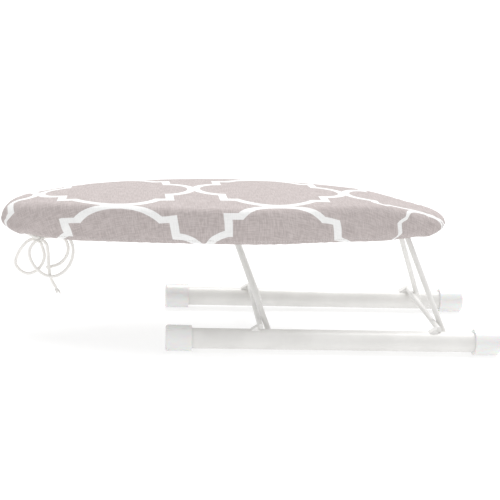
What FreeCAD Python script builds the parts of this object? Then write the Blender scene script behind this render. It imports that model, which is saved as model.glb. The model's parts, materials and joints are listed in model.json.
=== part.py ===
import FreeCAD, Part

import math
import os

from FreeCAD import Vector

# Folding tabletop ironing board, millimetres.
# +X runs from the nose of the board to its tail, +Y to the back, +Z up.
# The origin lies on the table, under the middle of the whole outline.

os.makedirs("parts", exist_ok=True)

# ---------------------------------------------------------------- overall sizes
board_length = 485.5
board_width = 189.0
board_height = 157.5        # top of the cover above the table, at the crown
foot_length = 360.0         # one foot with both of its end caps
foot_spacing = 163.5        # between the axes of the two feet
foot_overhang = 53.5        # how far the feet reach past the tail of the board

# ---------------------------------------------------------------- board outline
nose_radius = 38.0
widest_share = 0.5293        # of the board's length, from the nose
tail_side_radius = 180.0
tail_radius = 31.0
arch_share = 5.355          # arch radius over board length: the board bows down towards both ends
arch_from_nose_share = 0.5623

# ---------------------------------------------------------------- board layers
cover_thickness = 1.0
board_thickness = 39.5      # top of the cover to the underside of its hem
pad_thickness = 12.0
sheet_thickness = 1.0
shoulder_radius = 10.0
cover_bottom_radius = 2.5
layer_gap = 0.3
deck_inset = 4.0            # room for the cover and its folds round the deck's edge
deck_edge_radius = 4.0
deck_lip = 5.0
flange_above_hem = 12.0     # from the underside of the cover to the underside of the deck
casing_inset = 1.9          # from the outline to the casing's outer wall
casing_height = 6.0
casing_wall = 0.6
casing_clearance = 0.1      # round the drawstring

# ---------------------------------------------------------------- feet
tube_diameter = 22.0
tube_wall = 1.2
cap_wall = 3.0
cap_length = 28.0
cap_end_wall = 2.2
cap_edge_radius = 2.8
cap_lip_radius = 0.6
cap_flat_depth = 0.4        # flat under each cap, so that the feet don't roll
cap_fit = 0.05

# ---------------------------------------------------------------- legs and crossbars
rod_diameter = 6.0
leg_lean = 21.8             # degrees from upright, tops towards the nose
hinge_height = 132.0
nose_pivot_from_foot_end = 112.8
pivot_spacing = 192.5
leg_top_margin = 2.2        # rod diameters from the hem to the sharp top corner of the rear leg
leg_top_radius = 8.0
leg_foot_radius = 7.0
pin_reach = 9.0             # pin length inside the tube
running_clearance = 0.1
stop_gap = 0.2              # leg to crossbar, standing
crossbar_overhang = 2.0
weld_gap = 0.02
gusset_length = 10.0
gusset_height = 5.2
gusset_width = 9.0

# ---------------------------------------------------------------- hinge straps
strap_width = 8.0
strap_end_gap = 0.22        # from a strap to where the leg's top bar begins to bend
strap_sheet = 1.5
wing_half = 12.5
wing_gap = 0.05
rivet_offset = 8.5
rivet_diameter = 4.0
rivet_head_diameter = 7.0
rivet_head_height = 1.8
rivet_clearance = 0.05

# ---------------------------------------------------------------- steam vents
vent_diameter = 10.0
vent_pitch_x = 27.0
vent_pitch_y = 30.0
vent_edge = 16.0            # least distance from a vent's centre to the outline
vent_keep_off = 20.0        # along X, from a hinge to the nearest vent's centre

# ---------------------------------------------------------------- drawstring
cord_diameter = 2.6
knot_radius = 4.6
knot_from_nose = 40.0
knot_y = -11.0
knot_below_crown = 16.5     # under the level of the hem at the crown

# ---------------------------------------------------------------- worked-out places
overall_length = board_length + foot_overhang
nose_x = -overall_length / 2
foot_tail_x = overall_length / 2
foot_nose_x = foot_tail_x - foot_length
arch_x = nose_x + arch_from_nose_share * board_length
arch_radius = arch_share * board_length
arch_z = board_height - arch_radius
half_width = board_width / 2
widest_from_nose = widest_share * board_length

cover_bottom = board_height - board_thickness
pad_top = board_height - cover_thickness - layer_gap
deck_top = board_height - cover_thickness - pad_thickness
pad_bottom = deck_top + layer_gap
deck_under = deck_top - sheet_thickness
casing_bottom = cover_bottom + cover_thickness + layer_gap
flange_bottom = cover_bottom + flange_above_hem
pad_inset = cover_thickness + layer_gap
casing_width = cord_diameter + 2 * (casing_wall + casing_clearance)
hem_lip = casing_inset + casing_width + casing_clearance

tube_radius = tube_diameter / 2
rod_radius = rod_diameter / 2
cap_diameter = tube_diameter + 2 * cap_wall
cap_radius = cap_diameter / 2
tube_z = cap_radius - cap_flat_depth
foot_y = foot_spacing / 2
lean = math.radians(leg_lean)
leg_length = (hinge_height - tube_z) / math.cos(lean)
pivot_x = {
    "nose": foot_nose_x + nose_pivot_from_foot_end,
    "tail": foot_nose_x + nose_pivot_from_foot_end + pivot_spacing,
}
hinge_x = {end: x - leg_length * math.sin(lean) for end, x in pivot_x.items()}
knot_centre = Vector(nose_x + knot_from_nose, knot_y, cover_bottom - knot_below_crown)
crossbar_z = tube_z + tube_radius + rod_radius + weld_gap
crossbar_back = (rod_diameter + stop_gap + (crossbar_z - tube_z) * math.sin(lean)) / math.cos(lean)
crossbar_x = {end: x - crossbar_back for end, x in pivot_x.items()}


def save(shape, node):
    """Writes one sub-part, after checking that it is sound."""
    if not shape.isValid() or shape.Volume <= 0:
        raise ValueError(node + " is not a sound solid")
    shape.exportStep("parts/" + node + ".step")
    print(node, "solids", len(shape.Solids), "volume", round(shape.Volume, 1))


# ================================================================ outline and arch
def outline_arcs():
    """Centres, radii and joint directions of the board's plan outline, back half."""
    ratio = (widest_from_nose - nose_radius) / (half_width - nose_radius)
    nose_turn = 2 * math.atan(ratio) - math.pi / 2
    side_radius = nose_radius + (widest_from_nose - nose_radius) / math.cos(nose_turn)
    nose_centre = Vector(nose_x + nose_radius, 0, 0)
    side_centre = Vector(nose_x + widest_from_nose, half_width - side_radius, 0)
    taper_centre = Vector(nose_x + widest_from_nose, half_width - tail_side_radius, 0)
    tail_centre = Vector(nose_x + board_length - tail_radius, 0, 0)
    between = tail_centre - taper_centre
    spread = math.acos((tail_side_radius - tail_radius) / between.Length)
    taper = math.atan2(between.x, between.y) - spread
    return {
        "nose": (nose_centre, nose_radius),
        "side": (side_centre, side_radius),
        "shoulder": (taper_centre, tail_side_radius),
        "tail": (tail_centre, tail_radius),
        "nose_end": Vector(-math.cos(nose_turn), math.sin(nose_turn), 0),
        "widest": Vector(0, 1, 0),
        "taper": Vector(math.sin(taper), math.cos(taper), 0),
    }


def arc_between(centre, radius, start, end):
    """A circular edge about centre, from one direction to another, the short way."""
    middle = (start + end).normalize()
    points = [centre + direction * radius for direction in (start, middle, end)]
    return Part.Arc(*points).toShape()


def outline_face(inset):
    """The board's plan outline as a face, moved inwards by inset."""
    arcs = outline_arcs()

    def at(name, direction):
        centre, radius = arcs[name]
        return centre + direction * (radius - inset)

    def mirrored(edge):
        return edge.mirror(Vector(0, 0, 0), Vector(0, 1, 0))

    def other_side(point):
        return Vector(point.x, -point.y, 0)

    side_centre, side_radius = arcs["side"]
    shoulder_centre, shoulder = arcs["shoulder"]
    half = [
        arc_between(side_centre, side_radius - inset, arcs["nose_end"], arcs["widest"]),
        arc_between(shoulder_centre, shoulder - inset, arcs["widest"], arcs["taper"]),
        Part.LineSegment(at("shoulder", arcs["taper"]), at("tail", arcs["taper"])).toShape(),
    ]
    nose_end = at("nose", arcs["nose_end"])
    nose_tip = at("nose", Vector(-1, 0, 0))
    tail_end = at("tail", arcs["taper"])
    tail_tip = at("tail", Vector(1, 0, 0))
    ends = [
        Part.Arc(nose_end, nose_tip, other_side(nose_end)).toShape(),
        Part.Arc(tail_end, tail_tip, other_side(tail_end)).toShape(),
    ]
    edges = half + [mirrored(edge) for edge in half] + ends
    return Part.Face(Part.Wire(Part.__sortEdges__(edges)))


def arch_slab(low, high):
    """A bowed plank between two levels, given as heights at the crown."""
    reach = overall_length
    half_angle = math.asin(reach / arch_radius)

    def on_arch(level, angle):
        radius = arch_radius - (board_height - level)
        return Vector(arch_x + radius * math.sin(angle), -board_width, arch_z + radius * math.cos(angle))

    outer = [on_arch(high, angle) for angle in (-half_angle, 0, half_angle)]
    inner = [on_arch(low, angle) for angle in (half_angle, 0, -half_angle)]
    edges = [
        Part.Arc(*outer).toShape(),
        Part.LineSegment(outer[2], inner[0]).toShape(),
        Part.Arc(*inner).toShape(),
        Part.LineSegment(inner[2], outer[0]).toShape(),
    ]
    return Part.Face(Part.Wire(edges)).extrude(Vector(0, 2 * board_width, 0))


def layer(inset, low, high):
    """The part of the board between two levels, with its outline moved inwards by inset."""
    column = outline_face(inset).extrude(Vector(0, 0, 2 * board_height))
    return column.common(arch_slab(low, high))


def edges_at_level(shape, level):
    """Outline edges of a board layer that lie on one arched level."""
    radius = arch_radius - (board_height - level)
    centre = Vector(arch_x, 0, arch_z)
    found = []
    for edge in shape.Edges:
        points = edge.discretize(5)
        gaps = [abs(Vector(p.x - centre.x, 0, p.z - centre.z).Length - radius) for p in points]
        if max(gaps) < 0.01:
            found.append(edge)
    return found


def ring(outer_inset, inner_inset, low, high):
    """A bowed band that follows the outline between two insets."""
    return layer(outer_inset, low, high).cut(outline_face(inner_inset).extrude(Vector(0, 0, 2 * board_height)))


# ================================================================ board layers
def make_cover():
    """Fabric cover: top, sides and the lip that turns in under the deck."""
    outer = layer(0, cover_bottom, board_height)
    outer = outer.makeFillet(shoulder_radius, edges_at_level(outer, board_height))
    outer = outer.makeFillet(cover_bottom_radius, edges_at_level(outer, cover_bottom))
    room_top = board_height - cover_thickness
    room = layer(cover_thickness, cover_bottom + cover_thickness, room_top)
    room = room.makeFillet(shoulder_radius - cover_thickness, edges_at_level(room, room_top))
    room = room.makeFillet(cover_bottom_radius - cover_thickness, edges_at_level(room, cover_bottom + cover_thickness))
    mouth = outline_face(hem_lip).extrude(Vector(0, 0, cover_bottom + cover_thickness))
    return outer.cut(room).cut(mouth)


def make_pad():
    pad = layer(pad_inset, pad_bottom, pad_top)
    return pad.makeFillet(shoulder_radius - pad_inset, edges_at_level(pad, pad_top))


def make_casing():
    """Stitched channel that lies on the cover's lip, with the drawstring's bore."""
    shell = ring(casing_inset, casing_inset + casing_width, casing_bottom, casing_bottom + casing_height)
    bore_low = casing_bottom + casing_wall
    bore_high = casing_bottom + casing_height - casing_wall
    bore = ring(casing_inset + casing_wall, casing_inset + casing_width - casing_wall, bore_low, bore_high)
    return shell.cut(bore)


def make_hem_cord():
    """The stretch of the drawstring inside the casing, open at the nose where both ends come out."""
    middle_inset = casing_inset + casing_width / 2
    middle_level = casing_bottom + casing_height / 2
    half = cord_diameter / 2
    band = ring(middle_inset - half, middle_inset + half, middle_level - half, middle_level + half)
    exit_width = 2 * knot_radius
    opening = Part.makeBox(nose_radius, exit_width, 2 * board_height)
    opening.translate(Vector(nose_x, knot_centre.y - exit_width / 2, 0))
    return band.cut(opening)


# ================================================================ deck
def board_drop(x):
    """How far the bowed board has come down at one place along it."""
    return (x - arch_x) ** 2 / (2 * arch_radius)


def station(x, z):
    """Angle about the arch's centre and distance from it, for a place under the deck."""
    return math.atan2(x - arch_x, z - arch_z), math.hypot(x - arch_x, z - arch_z)


def set_on_arch(shape, angle):
    """Swings a shape built at the crown to its place along the arch."""
    return shape.rotate(Vector(arch_x, 0, arch_z), Vector(0, 1, 0), math.degrees(angle))


def rivet_places(end):
    """Each rivet's X at the crown and its Y, for one hinge."""
    xs = (arch_x - rivet_offset, arch_x + rivet_offset)
    ys = (-strap_place(), strap_place())
    return [(x, y) for x in xs for y in ys]


def half_width_at(x):
    """Half of the outline's width at one place along the board."""
    line = Part.makeLine(Vector(x, 0, 0), Vector(x, board_width, 0))
    return outline_face(0).common(line).Length


def vent_places():
    """Centres of the steam vents: a square grid that keeps clear of the edge and the hinges."""
    places = []
    columns = int(board_length / vent_pitch_x)
    first_x = nose_x + (board_length - (columns - 1) * vent_pitch_x) / 2
    rows = int(board_width / vent_pitch_y) | 1
    for i in range(columns):
        x = first_x + i * vent_pitch_x
        if min(abs(x - hinge) for hinge in hinge_x.values()) < vent_keep_off:
            continue
        if x - nose_x < vent_edge or nose_x + board_length - x < vent_edge:
            continue
        room = half_width_at(x) - vent_edge
        for j in range(rows):
            y = (j - (rows - 1) / 2) * vent_pitch_y
            if abs(y) < room:
                places.append((x, y))
    return places


def make_deck():
    """Pressed steel pan: a bowed plate with a flange, a return lip, rivet holes and vents."""
    outer = layer(deck_inset, flange_bottom, deck_top)
    outer = outer.makeFillet(deck_edge_radius, edges_at_level(outer, deck_top))
    room = layer(deck_inset + sheet_thickness, flange_bottom + sheet_thickness, deck_under)
    room = room.makeFillet(deck_edge_radius - sheet_thickness, edges_at_level(room, deck_under))
    mouth = outline_face(deck_inset + deck_lip).extrude(Vector(0, 0, flange_bottom + sheet_thickness))
    deck = outer.cut(room).cut(mouth)
    cutters = []
    for end in ("nose", "tail"):
        angle, _ = station(hinge_x[end], hinge_height)
        for x, y in rivet_places(end):
            hole = Part.makeCylinder(rivet_diameter / 2 + rivet_clearance, 3 * pad_thickness)
            hole.translate(Vector(x, y, deck_top - 2 * pad_thickness))
            cutters.append(set_on_arch(hole, angle))
    for x, y in vent_places():
        vent = Part.makeCylinder(vent_diameter / 2, board_thickness)
        vent.translate(Vector(x, y, deck_top - board_thickness / 2))
        cutters.append(vent)
    return deck.cut(Part.makeCompound(cutters))


def make_strap(end, y):
    """Sheet strap wrapped round a leg's top bar and riveted under the deck."""
    angle, distance = station(hinge_x[end], hinge_height)
    axis_z = arch_z + distance
    wing_top = deck_under - wing_gap
    bore_radius = rod_radius + running_clearance
    loop_radius = bore_radius + strap_sheet
    low_y = y - strap_width / 2
    along_y = Vector(0, 1, 0)
    loop = Part.makeCylinder(loop_radius, strap_width, Vector(arch_x, low_y, axis_z), along_y)
    neck = Part.makeBox(2 * strap_sheet, strap_width, wing_top - axis_z)
    neck.translate(Vector(arch_x - strap_sheet, low_y, axis_z))
    wing = Part.makeBox(2 * wing_half, strap_width, strap_sheet)
    wing.translate(Vector(arch_x - wing_half, low_y, wing_top - strap_sheet))
    bore = Part.makeCylinder(bore_radius, strap_width, Vector(arch_x, low_y, axis_z), along_y)
    strap = loop.fuse(neck).fuse(wing).removeSplitter().cut(bore)
    for x in (arch_x - rivet_offset, arch_x + rivet_offset):
        hole = Part.makeCylinder(rivet_diameter / 2 + rivet_clearance, 2 * pad_thickness)
        hole.translate(Vector(x, y, wing_top - pad_thickness))
        strap = strap.cut(hole)
    return set_on_arch(strap, angle)


def make_rivets(end):
    """Dome-headed rivets, set flush in the top of the deck."""
    angle, _ = station(hinge_x[end], hinge_height)
    head_top = deck_under - wing_gap - strap_sheet - weld_gap
    head_radius = rivet_head_diameter / 2
    dome_radius = (head_radius ** 2 + rivet_head_height ** 2) / (2 * rivet_head_height)
    rivets = []
    for x, y in rivet_places(end):
        shank = Part.makeCylinder(rivet_diameter / 2, deck_top - head_top - layer_gap / 2)
        shank.translate(Vector(x, y, head_top))
        dome = Part.makeSphere(dome_radius, Vector(x, y, head_top - rivet_head_height + dome_radius))
        head_room = Part.makeCylinder(head_radius, rivet_head_height)
        head_room.translate(Vector(x, y, head_top - rivet_head_height))
        rivets.append(set_on_arch(dome.common(head_room).fuse(shank).removeSplitter(), angle))
    return Part.makeCompound(rivets)


# ================================================================ feet
def make_tube(side):
    """Round steel tube with the two holes that take the legs' pins."""
    start = foot_nose_x + cap_end_wall
    length = foot_length - 2 * cap_end_wall
    along_x = Vector(1, 0, 0)
    centre = Vector(start, side * foot_y, tube_z)
    tube = Part.makeCylinder(tube_radius, length, centre, along_x)
    tube = tube.cut(Part.makeCylinder(tube_radius - tube_wall, length, centre, along_x))
    for x in pivot_x.values():
        inwards = Vector(0, -side, 0)
        hole_start = Vector(x, side * foot_y, tube_z)
        tube = tube.cut(Part.makeCylinder(rod_radius + running_clearance, tube_diameter, hole_start, inwards))
    return tube


def circles_at(shape, x):
    """Round edges of a shape that lie in one plane across the feet."""
    circles = [edge for edge in shape.Edges if edge.Curve.TypeId == "Part::GeomCircle"]
    return [edge for edge in circles if abs(edge.CenterOfMass.x - x) < 0.1]


def make_cap(side, end):
    """Push-on plastic cup with a rounded rim and a narrow flat underneath."""
    outward = 1 if end == "tail" else -1
    end_x = foot_tail_x if end == "tail" else foot_nose_x
    along = Vector(-outward, 0, 0)
    centre = Vector(end_x, side * foot_y, tube_z)
    cap = Part.makeCylinder(cap_radius, cap_length, centre, along)
    cap = cap.makeFillet(cap_edge_radius, circles_at(cap, end_x))
    cap = cap.makeFillet(cap_lip_radius, circles_at(cap, end_x - outward * cap_length))
    bore_start = centre + along * cap_end_wall
    cap = cap.cut(Part.makeCylinder(tube_radius + cap_fit, cap_length, bore_start, along))
    below = Part.makeBox(3 * cap_length, 2 * cap_diameter, cap_diameter)
    below.translate(Vector(end_x - 1.5 * cap_length, side * foot_y - cap_diameter, -cap_diameter))
    return cap.cut(below)


def make_crossbar(end):
    length = foot_spacing + 2 * crossbar_overhang
    start = Vector(crossbar_x[end], -length / 2, crossbar_z)
    return Part.makeCylinder(rod_radius, length, start, Vector(0, 1, 0))


def make_gusset(side, end):
    """Small wedge welded to the tube on the nose side of a crossbar."""
    crown = tube_z + tube_radius
    x = crossbar_x[end]
    low = crown - rod_radius
    profile = [
        Vector(x - gusset_length, 0, low),
        Vector(x, 0, low),
        Vector(x, 0, crown + gusset_height),
        Vector(x - rod_radius * 0.6, 0, crown + gusset_height),
        Vector(x - gusset_length, 0, crown - weld_gap),
    ]
    wedge = Part.Face(Part.makePolygon(profile + profile[:1])).extrude(Vector(0, gusset_width, 0))
    wedge.translate(Vector(0, side * foot_y - gusset_width / 2, 0))
    tube_start = Vector(foot_nose_x, side * foot_y, tube_z)
    tube_room = Part.makeCylinder(tube_radius + weld_gap, foot_length, tube_start, Vector(1, 0, 0))
    bar_start = Vector(x, -foot_spacing, crossbar_z)
    bar_room = Part.makeCylinder(rod_radius + weld_gap, 2 * foot_spacing, bar_start, Vector(0, 1, 0))
    wedge = wedge.cut(tube_room).cut(bar_room)
    return max(wedge.Solids, key=lambda solid: solid.Volume)


# ================================================================ bent rods and cords
def rounded_path(points, radii):
    """Straight runs joined by tangent arcs, one radius for each inner point."""
    edges = []
    start = points[0]
    for i, radius in enumerate(radii):
        before = (points[i] - points[i + 1]).normalize()
        after = (points[i + 2] - points[i + 1]).normalize()
        half_turn = (math.pi - before.getAngle(after)) / 2
        tangent = radius * math.tan(half_turn)
        arc_start = points[i + 1] + before * tangent
        arc_end = points[i + 1] + after * tangent
        bisector = (before + after).normalize()
        centre = points[i + 1] + bisector * (radius / math.cos(half_turn))
        middle = centre - bisector * radius
        edges.append(Part.LineSegment(start, arc_start).toShape())
        edges.append(Part.Arc(arc_start, middle, arc_end).toShape())
        start = arc_end
    edges.append(Part.LineSegment(start, points[-1]).toShape())
    return Part.Wire(edges)


def sweep_round(path, start, direction, diameter):
    """A round solid along a path."""
    circle = Part.Wire(Part.Circle(start, direction, diameter / 2).toShape())
    return path.makePipeShell([circle], True, True)


def leg_half_top():
    """Half of the top bar's length, so that the rear leg passes inside the board's hem."""
    hem_x = hinge_x["tail"] + (hinge_height - cover_bottom + board_drop(hinge_x["tail"])) * math.tan(lean)
    return half_width_at(hem_x) - hem_lip - leg_top_margin * rod_diameter


def leg_splay():
    """Angle between a side of the leg and the table."""
    return math.atan2(leg_length, foot_y - tube_radius - leg_half_top())


def strap_place():
    """Distance of each strap from the middle: on the straight of the top bar, just clear of its bends."""
    straight_half = leg_half_top() - leg_top_radius * math.tan(leg_splay() / 2)
    return straight_half - strap_end_gap - strap_width / 2


def make_leg(end):
    """One rod bent into an inverted U with splayed sides and outward pins."""
    tube_inner_y = foot_y - tube_radius
    half_top = leg_half_top()
    pin_end = tube_inner_y + pin_reach
    splay = leg_splay()
    corner_y = tube_inner_y - stop_gap - leg_foot_radius * math.tan(splay / 2)

    def in_plane(y, s):
        return Vector(pivot_x[end] - s * math.sin(lean), y, tube_z + s * math.cos(lean))

    points = [
        in_plane(-pin_end, 0),
        in_plane(-corner_y, 0),
        in_plane(-half_top, leg_length),
        in_plane(half_top, leg_length),
        in_plane(corner_y, 0),
        in_plane(pin_end, 0),
    ]
    radii = [leg_foot_radius, leg_top_radius, leg_top_radius, leg_foot_radius]
    path = rounded_path(points, radii)
    return sweep_round(path, points[0], Vector(0, 1, 0), rod_diameter)


def make_cord(name, route):
    """A hanging cord: each arc is as large as its two runs allow."""
    points = [knot_centre + Vector(*offset) for offset in route]
    radii = []
    for i in range(len(points) - 2):
        run_in = points[i + 1] - points[i]
        run_out = points[i + 2] - points[i + 1]
        half_turn = run_in.getAngle(run_out) / 2
        radii.append(0.45 * min(run_in.Length, run_out.Length) / math.tan(half_turn))
    path = rounded_path(points, radii)
    cord = sweep_round(path, points[0], points[1] - points[0], cord_diameter)
    section = math.pi * cord_diameter ** 2 / 4
    print(name, "length", round(path.Length, 1), "smallest radii", [round(r, 1) for r in sorted(radii)[:3]],
          "volume share", round(cord.Volume / (section * path.Length), 3))
    return cord


# The two leads from the casing to the knot, and the four free ends' routes, as offsets from the knot.
leads = [
    ((-32.7, -4.5, 7.4), (-10.5, -3.5, 6.0)),
    ((-35.5, 5.0, 7.1), (-11.5, 4.0, 6.0)),
]
loop_nose_route = [
    (-2.0, 1.0, 0.5), (-10.5, 2.0, -1.0), (-18.0, 2.5, -8.5), (-24.0, 2.5, -18.5),
    (-27.0, 2.0, -28.5), (-21.5, 1.5, -36.5), (-12.5, 1.0, -40.5), (-4.0, 0.5, -37.0),
    (2.5, 0.0, -30.0), (6.0, 0.0, -21.0), (4.5, 0.5, -11.5), (1.0, 0.5, -3.0),
]
loop_tail_route = [
    (-2.0, -2.0, -1.0), (-8.5, -3.5, -6.5), (-11.0, -4.5, -15.5), (-8.0, -5.0, -25.0),
    (-2.0, -5.0, -33.5), (6.5, -5.0, -40.0), (17.0, -5.0, -41.5), (27.0, -4.5, -36.0),
    (34.0, -4.0, -27.0), (37.0, -3.5, -16.5), (35.0, -2.5, -5.5), (27.0, -1.0, 1.0),
    (16.0, -0.5, 0.5), (4.5, -0.5, 2.0),
]
tail_short_route = [
    (3.5, 2.5, 0.0), (13.0, 3.5, -3.0), (23.0, 3.5, -2.5), (30.0, 3.5, -8.5),
    (31.0, 3.5, -17.5), (25.5, 4.0, -26.0), (17.0, 4.0, -31.5), (7.5, 4.0, -33.0),
]
tail_long_route = [
    (3.0, -1.0, -2.5), (7.0, -1.5, -10.0), (9.5, -1.5, -19.5), (10.5, -1.0, -29.5),
    (10.5, -1.0, -40.0), (13.0, -1.0, -49.0), (19.0, -1.0, -56.0), (26.0, -1.0, -61.0),
]


def make_knot():
    """Bow knot with the two short stretches that come out of the casing."""
    knot = Part.makeSphere(knot_radius, knot_centre)
    for start, bend in leads:
        start = knot_centre + Vector(*start)
        bend = knot_centre + Vector(*bend)
        knot = knot.fuse(Part.makeSphere(cord_diameter / 2, bend))
        for from_point, to_point in ((start, bend), (bend, knot_centre)):
            along = to_point - from_point
            knot = knot.fuse(Part.makeCylinder(cord_diameter / 2, along.Length, from_point, along))
    return knot.removeSplitter()


# ================================================================ build
sides = {"front": -1, "back": 1}
ends = ("nose", "tail")

save(make_cover(), "cover")
save(make_pad(), "foam_pad")
save(make_deck(), "deck_pan")
save(make_casing(), "hem_casing")
save(make_hem_cord(), "drawstring_in_hem")

for end in ends:
    save(make_leg(end), end + "_leg")
    save(make_crossbar(end), end + "_crossbar")
    save(make_rivets(end), end + "_hinge_rivets")
    for side_name, side in sides.items():
        save(make_strap(end, side * strap_place()), end + "_hinge_strap_" + side_name)
        save(make_cap(side, end), side_name + "_" + end + "_cap")
        save(make_gusset(side, end), side_name + "_" + end + "_gusset")

for side_name, side in sides.items():
    save(make_tube(side), side_name + "_foot_tube")

save(make_knot(), "bow_knot")
save(make_cord("nose loop", loop_nose_route), "bow_loop_nose")
save(make_cord("tail loop", loop_tail_route), "bow_loop_tail")
save(make_cord("short tail", tail_short_route), "drawstring_tail_short")
save(make_cord("long tail", tail_long_route), "drawstring_tail_long")
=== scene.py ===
import json
import math

import bmesh
import bpy
from mathutils import Matrix, Vector, noise
from mathutils.bvhtree import BVHTree


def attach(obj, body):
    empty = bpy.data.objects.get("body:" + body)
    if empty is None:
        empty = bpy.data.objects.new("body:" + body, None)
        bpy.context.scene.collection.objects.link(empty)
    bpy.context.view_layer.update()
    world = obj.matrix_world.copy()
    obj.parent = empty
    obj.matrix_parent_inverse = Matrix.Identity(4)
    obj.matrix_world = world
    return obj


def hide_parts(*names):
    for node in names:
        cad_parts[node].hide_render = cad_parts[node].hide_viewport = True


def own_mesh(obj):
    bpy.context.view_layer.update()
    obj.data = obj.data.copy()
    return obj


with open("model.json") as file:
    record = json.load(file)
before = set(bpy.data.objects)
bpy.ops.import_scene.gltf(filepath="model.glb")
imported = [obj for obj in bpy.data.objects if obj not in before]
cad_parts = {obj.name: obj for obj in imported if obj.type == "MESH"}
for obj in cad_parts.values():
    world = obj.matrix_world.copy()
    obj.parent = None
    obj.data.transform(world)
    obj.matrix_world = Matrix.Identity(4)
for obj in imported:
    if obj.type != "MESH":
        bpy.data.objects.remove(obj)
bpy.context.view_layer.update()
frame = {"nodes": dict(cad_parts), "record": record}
nodes = frame["nodes"]

MM = 0.001

# ---------------------------------------- board, millimetres
NOSE_X = -269.5
BOARD_LENGTH = 485.5
HALF_WIDTH = 94.5
NOSE_RADIUS = 38.0
WIDEST_FROM_NOSE = 257.0
TAIL_SIDE_RADIUS = 180.0
TAIL_RADIUS = 31.0
ARCH_X = 3.5
ARCH_RADIUS = 2600.0
TOP = 157.5
UNDERSIDE = 118.0
DECK_TOP = 144.5

# ---------------------------------------- how the cover sits
CROWN_RISE = 2.0            # how far the padding lifts the middle of the top
CROWN_DROP = 5.0e-4         # fall of the top towards its sides, per millimetre squared
NOSE_SAG = 0.6              # how far the top sinks at the nose
NOSE_SAG_FROM_X = -170.0
NOSE_SAG_FULL_X = -262.0
TAIL_SAG = 7.5              # and at the tail
TAIL_SAG_FROM_X = 120.0
TAIL_SAG_FULL_X = 212.0
NOSE_FROM_X = -185.0        # from here on the side takes its shape at the nose
TAIL_FROM_X = 135.0         # and from here on the shape at the tail
TIP_REACH = 8.0             # it has that shape in full this far before the tip
TIP_FACING = (0.42, 0.98)   # and by how much the edge faces along the board: from, in full
SPINE_SHARE = 0.9           # of the nose's radius, where the spine of the top starts
END_SPACING = 3.2           # of points round the two ends
SIDE_SPACING = 5.0
# The section of the cover's side: how far in and down the rounded shoulder goes, how far in and up the
# lower roll goes, and how far the lower edge lifts and the wall stands proud. It changes from SIDE
# along the board to NOSE and TAIL at its tips.
SIDE = {"shoulder": 8.5, "drop": 9.0, "roll": 7.0, "rise": 9.0, "lift": 0.0, "proud": 0.0}
NOSE = {"shoulder": 19.0, "drop": 17.0, "roll": 14.0, "rise": 10.0, "lift": 8.0, "proud": 0.0}
TAIL = {"shoulder": 20.0, "drop": 12.5, "roll": 16.0, "rise": 8.0, "lift": 10.0, "proud": 3.0}
WALL_BULGE = 0.5            # how far the wall bulges between shoulder and roll
SHOULDER_STEPS = 7
WALL_STEPS = 5
ROLL_STEPS = 5
TOP_RINGS = 14
LIP = 7.0                   # width of cloth turned in under the board
LIP_ROWS = 2
HEM_RISE = 1.6              # how far the lip's inner edge rises
CLOTH_THICKNESS = 0.7
GATHER = 1.2                # the drawstring puckers the cloth above the hem
GATHER_EVERY = 13.0
GATHER_ALONG = 0.45         # its strength along the sides, as a share of that at the tips
BROAD_EVERY = 3.1 * GATHER_EVERY
BROAD_SHARE = 0.7

# ---------------------------------------- how the cloth settles
SETTLE_STEPS = 20
CAP_IN = 0.9                # farthest that a point of the cover may sink
CAP_OUT = 2.2               # or swell
CAP_SLIDE = 0.6             # or move along the surface
FIRST_BEND = 0.35           # unevenness that the cloth starts to buckle from
BEND_EVERY = 0.11           # per millimetre
LOOSE_FROM_TOP = (TOP - 2, TOP - 18)
LOOSE_FROM_HEM = (UNDERSIDE - 1, UNDERSIDE + 5)
LOOSEST = 0.93              # how free the middle of the side is, from 0 to 1

# ---------------------------------------- hem, stitches and foam
TUBE_WIDTH = 4.6            # the hem's rolled edge
TUBE_HEIGHT = 4.2
TUBE_UP = 3.6
TUBE_PUCKER = 0.16
TUBE_SPACING = 2.2
STITCH_ROW = -4             # the row of the side's section that the stitches follow, from its lower end
STITCH_PITCH = 3.1
STITCH_LENGTH = 2.3
THREAD_RADIUS = 0.26
STITCH_PROUD = 0.05
STITCH_AIM = 2.0            # outside the cover, where the nearest cloth is looked for
PAD_INSET = 1.3             # foam inside the cover's outer face
PAD_CLEARANCE = 0.4         # foam above the deck
PAD_CHAMFER = 0.2
PAD_RINGS = 10

# ---------------------------------------- drawstring
CORD = 2.6
PLUMP = 1.46                # loose yarn stands a little proud of the cord's nominal size
CORD_SPACING = 0.55         # of points along a free cord
KNOT_SPACING = 0.5
HEM_CORD_SPACING = 1.8
TIGHT = 0.92                # thickness where the cord is pulled tight, in the knot
IN_HEM = 0.9                # and inside the hem
STRANDS = 3
STRAND_SHARE = 0.27         # a strand's radius, as a share of the cord's full thickness
TWIST_PITCH = 8.5
KNOT_TWIST_PITCH = 7.0
KNOT_SIZE = 1.18
KNOT_DEPTH = 1.7
KNOT_STEPS = 72
KNOT = Vector((-229.5, -11.0, 101.5))
LOOP_NOSE = [
    (-231.5, -10.0, 102.0), (-240.0, -9.0, 100.5), (-247.5, -8.5, 93.0), (-253.5, -8.5, 83.0),
    (-256.5, -9.0, 73.0), (-251.0, -9.5, 65.0), (-242.0, -10.0, 61.0), (-233.5, -10.5, 64.5),
    (-227.0, -11.0, 71.5), (-223.5, -11.0, 80.5), (-225.0, -10.5, 90.0), (-228.5, -10.5, 98.5),
]
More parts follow.
